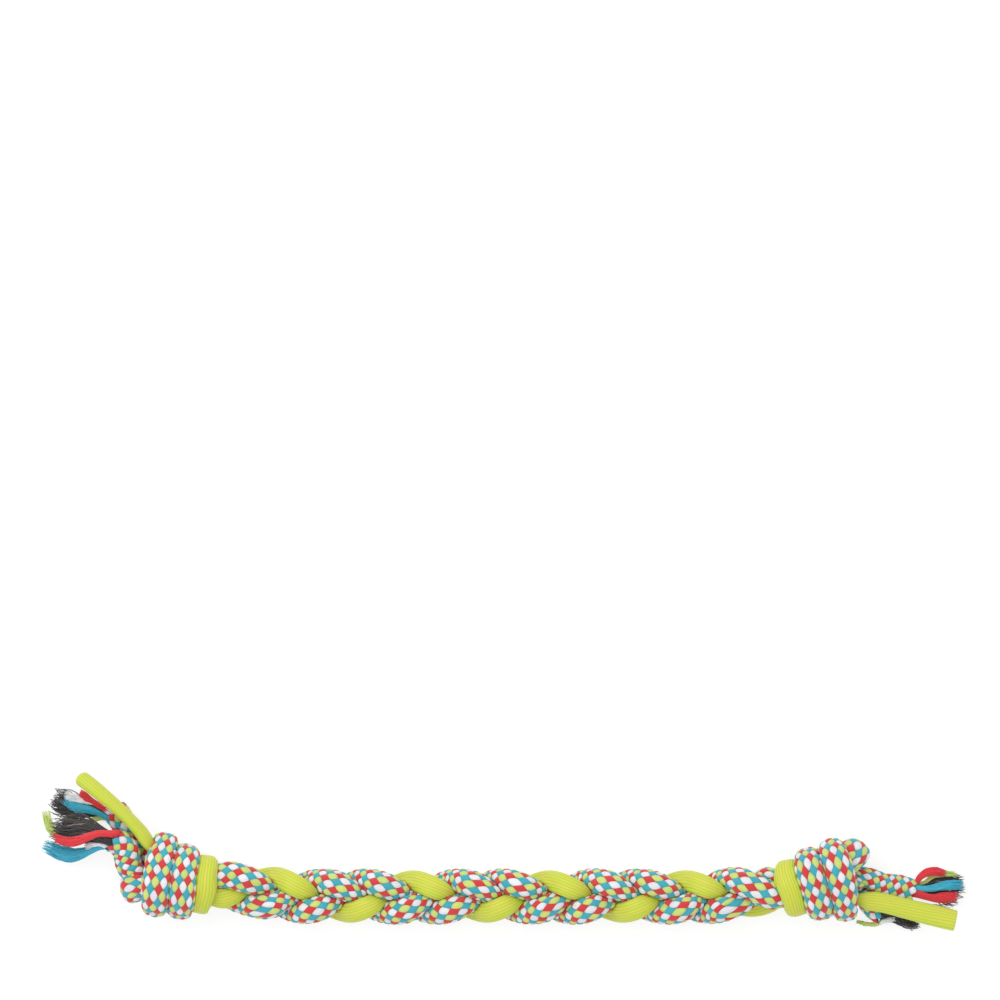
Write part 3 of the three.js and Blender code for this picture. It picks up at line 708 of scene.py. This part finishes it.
def lozenge_rows(strand):
    """Distance along a rope of each row of lozenges, which are drawn longer around the knots."""
    rise = np.full(len(strand.runs), PLAIT_RISE)
    for part, knot_rise in KNOT_RISES.items():
        start, end = strand.spans[part]
        drawn = np.clip(np.minimum(strand.runs - start, end - strand.runs) / RISE_CHANGE, 0, 1)
        rise += (knot_rise - PLAIT_RISE) * drawn
    number = np.concatenate([[0], np.cumsum(np.diff(strand.runs) / rise[1:])])
    count = int(number[-1])
    return np.interp(np.arange(count + 1) * number[-1] / count, number, strand.runs)


def lozenge_height(one, other):
    """Height of a braided skin from 0 in its pits to 1: puffed lozenges of plied yarn."""
    upper = (np.floor(one) + np.floor(other)) % 2 == 0
    u, v = (2 * (x - np.floor(x)) - 1 for x in (one, other))
    across, along = np.where(upper, u, v), np.where(upper, v, u)
    crown = 1.0
    for x, (edge, top) in ((across, CROWN_ACROSS), (along, CROWN_ALONG)):
        crown = crown * (1 - np.abs(x) ** edge) ** top
    ply = 1 - PLY_DEPTH * (1 - np.abs(np.sin(2 * np.pi * across)))
    return (1 - CROWN_SHARE) * (1 - (u * v) ** 2) + CROWN_SHARE * crown * ply


def dress_sheath(stretch, rope, materials):
    """One piece of a braided sheath, parted from the next along the edges of its lozenges."""
    strand, n = stretch.strand, LOZENGE_STEPS
    row_runs = lozenge_rows(strand)
    row_numbers = np.arange(len(row_runs))
    cuts = np.interp((stretch.start, stretch.end), row_runs, row_numbers)
    low, high = (int(round(cut)) for cut in cuts)
    high = min(high, len(row_runs) - 2)
    around = CARRIERS * n
    base = low * n

    def lattice(turn, rise):
        """Number of the point at a step round the rope and a step along it."""
        return (rise - base) * (around // 2) + (turn % around) // 2

    def zigzag(first):
        """Steps along the rope of an edge that goes up and down round it."""
        return np.abs((np.arange(around) - first + n) % (2 * n) - n)

    row, column = np.meshgrid(np.arange(low, high), np.arange(CARRIERS // 2), indexing="ij")
    angle = 2 * column + row % 2
    one, other = (row + angle) // 2, (row - angle) // 2
    p, q = np.meshgrid(np.arange(n), np.arange(n), indexing="ij")
    one = (one.ravel()[:, None] * n + p.ravel()).ravel()
    other = (other.ravel()[:, None] * n + q.ravel()).ravel()
    ones = np.stack([one, one + 1, one + 1, one], axis=1)
    others = np.stack([other, other, other + 1, other + 1], axis=1)
    quads = lattice(ones - others, ones + others)
    steps = np.arange(base, (high + 1) * n + 1)
    b, half = np.meshgrid(steps, np.arange(around // 2), indexing="ij")
    b, a = b.ravel(), (2 * half + b % 2).ravel()
    lift = LOZENGE_HEIGHT * lozenge_height((a + b) / 2 / n, (b - a) / 2 / n) - SHEATH_SINK
    points = strand.on_skin(np.interp(b / n, row_numbers, row_runs), a / around, lift)

    start = lattice(np.arange(around), low * n + zigzag(low % 2 * n))
    end = lattice(np.arange(around), (high + 1) * n - zigzag((high - 1) % 2 * n))
    tip_runs = (row_runs[low] + PLAIT_RISE, row_runs[high])
    tips = np.array([strand.on_middle(run) for run in tip_runs])
    tip = len(points)
    fans = np.concatenate([fan_faces(start, tip, False), fan_faces(end, tip + 1, True)])
    uv = np.stack([ones / n, others / n], axis=-1).reshape(-1, 2)
    uv = np.concatenate([uv, np.full((fans.size, 2), 0.5)])
    used, corners = np.unique(np.concatenate([quads.ravel(), fans.ravel()]), return_inverse=True)
    faces = [corners[: quads.size].reshape(-1, 4), corners[quads.size :].reshape(-1, 3)]
    kinds = np.concatenate([np.zeros(len(quads)), np.ones(len(fans))])
    points = np.concatenate([points, tips])[used]
    return new_mesh(f"{rope}_{stretch.name}_sheath", points, faces, materials, kinds, uv)


braided_sheath = sheath_material()
black_core = yarn_material("black_core_yarn", BLACK_YARN, DUSTY_YARN, BROWN_YARN, BROWN_SHARE)
for rope, strand in ropes.items():
    tails = [f"{side}_{rope}_tail" for side in ("left", "right")]
    for stretch in stretches(strand, rope, tails):
        fix_stretch(dress_sheath(stretch, rope, [braided_sheath, black_core]), stretch)


# Frayed ends
# Past each knot the ropes are left to fray: the black core fans out, and the yarns of the sheath
# come apart by colour into loose tufts. Each tuft grows out of the end of its sheath.
TUFT_ROWS = 40
TUFT_SOFTENING = 12
TUFT_THREADS = 90
TUFT_SPREAD = (0.55, 1.1)
FRINGE_THREADS = 230
FRINGE_SPREAD = (0.05, 1.15)
FRINGE_WAVE = 0.0010
FRINGE_RAGGED = 0.16
FRINGE_BODY = 0.8
THREAD_RADIUS = 0.00023
FRINGE_RADIUS = 0.00033
THREAD_SIDES = 5
THREAD_STEPS = 14
THREAD_TWIST = 0.25
THREAD_LONGER = 0.5
THREAD_BEATS = (1.5, 3.5)
WAVE_GROWTH = 1.2
THREAD_UNEVEN = (0.8, 1.2)
THREAD_TAPER = 0.55
TAPER_LATE = 4
THREAD_UP = (0.13, 0.21, 0.97)
THREAD_LOW = 0.0004
BODY_SIDES = 48
BODY_SHARE = 0.86
BODY_GROOVES = 0.16
BODY_THREAD = 1.3
BODY_ROUND = 10
BODY_TIP = 0.02
BODY_LOW = 0.0002
ROOT_SHARE = 0.45
ROOT_DEPTH = 0.004
ROOT_SINK = 0.0008
ROOT_BROAD = 1.1
ROOT_THICK = 0.35
SLIM_TUFT = 0.0015
draw = np.random.default_rng(7)


def tuft_lines(tuft, end):
    """Lines along a CAD tuft from its root, evened out at even steps."""
    lines = matched(ends_at(cad_rings(tuft), end)[::-1])
    run, _ = run_along(lines.mean(axis=1))
    even = np.linspace(0, run[-1], TUFT_ROWS + 1)
    columns = [np.interp(even, run, column) for column in lines.reshape(len(lines), -1).T]
    return softened(np.column_stack(columns).reshape(len(even), -1, 3), TUFT_SOFTENING)


def broad_root(lines, end, outward):
    """The same tuft with a broad root that starts inside the end of its sheath."""
    middle = lines.mean(axis=1, keepdims=True)
    radial = middle[0, 0] - end
    radial -= outward * (radial @ outward)
    radial /= np.linalg.norm(radial)
    near = np.clip(1 - np.linspace(0, 1, len(lines)) / ROOT_SHARE, 0, 1)[:, None, None] ** 2
    full = np.linalg.norm(lines - middle, axis=2).max()
    near = near * np.clip((full - SLIM_TUFT) / SLIM_TUFT, 0, 1)
    thick = ((lines - middle) @ radial)[:, :, None] * radial
    wide = lines - middle - thick
    middle = middle - near * (outward * ROOT_DEPTH + radial * ROOT_SINK)
    return middle + wide * (1 + near * ROOT_BROAD) + thick * (1 + near * ROOT_THICK)


def laid(lines, kept, width, root, half, tip):
    """The same tuft cut to a share of its length, wider or narrower, and moved aside along it."""
    lines = lines[: 1 + int(kept * TUFT_ROWS)]
    share = np.linspace(0, 1, len(lines))[:, None, None]
    middle = lines.mean(axis=1, keepdims=True)
    root, half, tip = np.array([root, half, tip])
    aside = (1 - share) ** 2 * root + 2 * share * (1 - share) * half + share**2 * tip
    return middle + (lines - middle) * (1 + (width - 1) * share) + aside


def thread_paths(lines, count, spread, wave, ragged):
    """Paths of single threads in a tuft: they part, wave and end at different lengths."""
    steps, sides = lines.shape[:2]
    middle = lines.mean(axis=1)
    reach = np.sqrt(draw.uniform(*spread, count))
    ends = 1 - ragged * draw.uniform(0, 1, count) ** 2
    ends = ends + THREAD_LONGER * ragged * draw.uniform(0, 1, count)
    share = np.linspace(0, 1, THREAD_STEPS) * ends[:, None]
    turn = draw.uniform(0, sides, (count, 1))
    turn = (turn + draw.normal(0, THREAD_TWIST, (count, 1)) * share) % sides
    k = turn.astype(int) % sides
    side = (turn - turn.astype(int))[:, :, None]
    at = np.clip(share, 0, 1) * (steps - 1)
    low = np.minimum(at.astype(int), steps - 2)
    part = (at - low)[:, :, None]

    def section(row):
        rim = lines[row, k] * (1 - side) + lines[row, (k + 1) % sides] * side
        return middle[row] + (rim - middle[row]) * reach[:, None, None]

    paths = section(low) * (1 - part) + section(low + 1) * part
    paths += (middle[-1] - middle[-2]) * ((share - np.clip(share, 0, 1)) * (steps - 1))[:, :, None]
    beat = draw.uniform(*THREAD_BEATS, (count, 1, 1))
    lag = draw.uniform(0, 2 * np.pi, (count, 1, 3))
    far = share[:, :, None]
    paths += wave * far**WAVE_GROWTH * np.sin(2 * np.pi * beat * far + lag)
    paths[:, :, 2] = np.maximum(paths[:, :, 2], THREAD_LOW)
    return paths


def threads_mesh(paths, radius):
    """Tubes along many paths of equal numbers of points, thinner towards their ends."""
    count, steps = paths.shape[:2]
    along = np.gradient(paths, axis=1)
    along /= np.linalg.norm(along, axis=2, keepdims=True)
    side = np.cross(along, THREAD_UP)
    side /= np.linalg.norm(side, axis=2, keepdims=True)
    up = np.cross(side, along)
    angles = 2 * np.pi * np.arange(THREAD_SIDES) / THREAD_SIDES
    slim = radius * draw.uniform(*THREAD_UNEVEN, (count, 1))
    slim = slim * (1 - THREAD_TAPER * np.linspace(0, 1, steps) ** TAPER_LATE)
    offsets = np.cos(angles)[:, None] * side[:, :, None] + np.sin(angles)[:, None] * up[:, :, None]
    points = (paths[:, :, None] + slim[:, :, None, None] * offsets).reshape(-1, 3)
    size = steps * THREAD_SIDES
    quads = np.concatenate([grid_faces(steps, THREAD_SIDES, n * size) for n in range(count)])
    first = np.arange(THREAD_SIDES)
    caps = [[n * size + first[::-1], (n + 1) * size - THREAD_SIDES + first] for n in range(count)]
    number = np.repeat(np.arange(count) + 0.5, size)
    share = np.tile(np.repeat(np.linspace(0, 1, steps), THREAD_SIDES), count)
    return points, quads, np.concatenate(caps), np.column_stack([number, share])


def body_mesh(lines, length, first):
    """The close bundle of yarn in a tuft, grooved along its threads and rounded off at its tip."""
    middle = lines.mean(axis=1, keepdims=True)
    rings = rounded(middle + (lines - middle) * BODY_SHARE, BODY_SIDES)
    grooves = 1 - BODY_GROOVES * draw.uniform(0, 1, (2, BODY_SIDES))
    share = np.linspace(0, 1, len(rings))[:, None]
    size = grooves[0] * (1 - share) + grooves[1] * share
    size = size * np.sqrt(np.clip(1 - (share / length) ** BODY_ROUND, BODY_TIP, 1))
    rings = (middle + (rings - middle) * size[:, :, None])[: 1 + int(length * (len(lines) - 1))]
    rings[:, :, 2] = np.maximum(rings[:, :, 2], BODY_LOW)
    ends = first + np.arange(BODY_SIDES)
    caps = np.stack([ends[::-1], ends + (len(rings) - 1) * BODY_SIDES])
    thread = np.tile(np.arange(BODY_SIDES) / BODY_THREAD, len(rings))
    lay = np.column_stack([thread, np.repeat(share[: len(rings)], BODY_SIDES)])
    return rings.reshape(-1, 3), grid_faces(len(rings), BODY_SIDES, first), caps, lay


def dress_tuft(name, lines, material, count, radius, spread, wave, ragged, body):
    """Loose threads over a close bundle of the same yarn."""
    paths = thread_paths(lines, count, spread, wave, ragged)
    points, quads, caps, lay = threads_mesh(paths, radius)
    bundle = body_mesh(lines, body, len(points))
    faces = [np.concatenate([quads, bundle[1]]), caps, bundle[2]]
    lay = np.concatenate([lay, bundle[3]])
    uv = lay[np.concatenate([group.ravel() for group in faces])]
    return new_mesh(name, np.concatenate([points, bundle[0]]), faces, [material], None, uv)


# Loose yarn by colour: its light and dark tints, how far threads wave, how ragged the tip is,
# and the share of its length that the close bundle takes up.
YARNS = {
    "red": ((0.86, 0.035, 0.050), (0.66, 0.016, 0.028), 0.0002, 0.06, 0.98),
    "blue": ((0.050, 0.52, 0.70), (0.022, 0.37, 0.54), 0.0005, 0.14, 0.94),
    "white": ((0.93, 0.93, 0.96), (0.80, 0.80, 0.86), 0.0007, 0.18, 0.9),
    "green": ((0.70, 0.82, 0.25), (0.55, 0.70, 0.16), 0.0007, 0.18, 0.9),
}
# How a tuft lies beside its CAD solid: the share of its length that is kept, how much wider its
# tip is, and how far it is moved aside at its root, halfway and at its tip.
STILL = (0, 0, 0)
ASIDE = LEANS["rope_a"][0][2]
LAY = {
    "rope_a_left_core": (1, 1.12, ASIDE, STILL, (0.001, -0.002, 0)),
    "rope_a_left_red_yarns": (
        0.80, 1, (0.0004, 0.0012, 0), (-0.0054, -0.0024, -0.001), (-0.001, -0.0008, -0.0015),
    ),
    "rope_a_left_white_yarns": (1, 1, ASIDE, (0.002, -0.002, 0), (0.0041, -0.0037, 0)),
    "rope_a_left_blue_yarns": (1, 1.2, ASIDE, STILL, (0.002, 0, -0.001)),
    "rope_a_left_green_yarns": (1, 1, ASIDE, STILL, STILL),
    "rope_b_left_core": (1, 1.4, STILL, (0, -0.0026, 0), (0, -0.0046, 0)),
    "rope_b_left_red_yarns": (0.86, 1, (0.001, 0.003, 0.001), (0, -0.008, 0), (0, 0.001, 0)),
    "rope_b_left_white_yarns": (0.5, 1, STILL, STILL, (0, -0.002, -0.002)),
    "rope_b_left_blue_yarns": (1, 1.2, STILL, (0, -0.003, 0), STILL),
    "rope_b_left_green_yarns": (1, 1, STILL, STILL, (0.0033, -0.0016, 0.0015)),
    "rope_a_right_core": (0.94, 1.3, STILL, (0, 0.002, 0), (0, 0.001, 0)),
    "rope_a_right_red_yarns": (0.95, 1.15, (-0.002, -0.001, 0), (-0.002, 0, 0), (-0.002, 0, 0)),
    "rope_a_right_low_red_yarns": (0.97, 1.25, STILL, STILL, (-0.001, 0.001, 0)),
    "rope_a_right_blue_yarns": (0.92, 1, STILL, STILL, STILL),
    "rope_a_right_green_yarns": (0.92, 1, STILL, STILL, STILL),
    "rope_b_right_core": (1, 1.25, STILL, STILL, STILL),
    "rope_b_right_white_yarns": (0.6, 1, STILL, STILL, (0, 0.002, 0)),
    "rope_b_right_green_yarns": (0.9, 0.5, STILL, STILL, STILL),
}
AS_MADE = (1, 1, STILL, STILL, STILL)
yarn_materials = {}
for colour, (light, dark, *_) in YARNS.items():
    yarn_materials[colour] = yarn_material(f"{colour}_yarn", light, dark, dark, 0.0)
for rope, strand in ropes.items():
    for side, run, way in (("left", 0, -1), ("right", strand.length, 1)):
        end, outward = strand.on_middle(run), way * strand.direction(run)
        core = f"{rope}_{side}_core"
        lines = laid(tuft_lines(core, end), *LAY[core])
        fringe = dress_tuft(
            f"{rope}_{side}_fringe", lines, black_core, FRINGE_THREADS, FRINGE_RADIUS,
            FRINGE_SPREAD, FRINGE_WAVE, FRINGE_RAGGED, FRINGE_BODY,
        )
        pieces = [(fringe, "core_yarn", core)]
        for tuft in sorted(frame["nodes"]):
            if not tuft.startswith(f"{rope}_{side}_") or not tuft.endswith("_yarns"):
                continue
            colour = tuft.split("_")[-2]
            wave, ragged, body = YARNS[colour][2:]
            lines = laid(broad_root(tuft_lines(tuft, end), end, outward), *LAY.get(tuft, AS_MADE))
            piece = dress_tuft(
                tuft.replace("_yarns", "_tuft"), lines, yarn_materials[colour], TUFT_THREADS,
                THREAD_RADIUS, TUFT_SPREAD, wave, ragged, body,
            )
            pieces.append((piece, f"{colour}_yarn", tuft))
        for piece, slot, replaced in pieces:
            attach(piece, f"{side}_{rope}_tail")
            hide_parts(replaced)


# Table and light
# A plain white table top under soft studio light: a wide lamp overhead to one side and an even
# white surround. Seen directly the table is nearly white, with a pale shadow under the toy.
TABLE_SIZE = 6.0
TABLE_WHITE = 0.93
TABLE_ROUGHNESS = 0.9
TABLE_GLOW = 1.12
SHADOW_KEPT = 0.3
SURROUND_STRENGTH = 0.80
LAMP_POWER = 14.0
LAMP_SIZE = 1.6
LAMP_PLACE = (-0.7, 0.8, 1.6)


def seen_directly(tree):
    """1 for rays from the camera, or from a shiny or clear surface."""
    path = tree.nodes.new("ShaderNodeLightPath").outputs
    shiny = maths(tree, "MAXIMUM", path["Is Glossy Ray"], path["Is Transmission Ray"])
    return maths(tree, "MAXIMUM", path["Is Camera Ray"], shiny)


table_material, tree, shader = new_material("white_table", TABLE_ROUGHNESS)
shader.inputs["Base Color"].default_value = (TABLE_WHITE, TABLE_WHITE, TABLE_WHITE, 1)
glow = node(tree, "ShaderNodeEmission", (1, 1, 1, 1), TABLE_GLOW)
share = maths(tree, "MULTIPLY", seen_directly(tree), 1 - SHADOW_KEPT)
blend = node(tree, "ShaderNodeMixShader", share, shader.outputs[0], glow)
tree.links.new(blend, tree.nodes["Material Output"].inputs["Surface"])
half = TABLE_SIZE / 2
table = new_mesh(
    "table", np.array([(-half, -half, 0), (half, -half, 0), (half, half, 0), (-half, half, 0)]),
    [np.array([[0, 1, 2, 3]])], [table_material],
)

world = bpy.data.worlds.new("surround")
world.use_nodes = True
tree = world.node_tree
surround = tree.nodes["Background"]
surround.inputs["Color"].default_value = (1, 1, 1, 1)
direct = seen_directly(tree)
strength = maths(tree, "MULTIPLY_ADD", direct, 1 - SURROUND_STRENGTH, SURROUND_STRENGTH)
tree.links.new(strength, surround.inputs["Strength"])
scene.world = world

lamp_data = bpy.data.lights.new("softbox", "AREA")
lamp_data.energy = LAMP_POWER
lamp_data.size = LAMP_SIZE
lamp = bpy.data.objects.new("softbox", lamp_data)
lamp.location = LAMP_PLACE
lamp.rotation_mode = "QUATERNION"
lamp.rotation_quaternion = (-Vector(LAMP_PLACE)).to_track_quat("-Z", "Y")
scene.collection.objects.link(lamp)
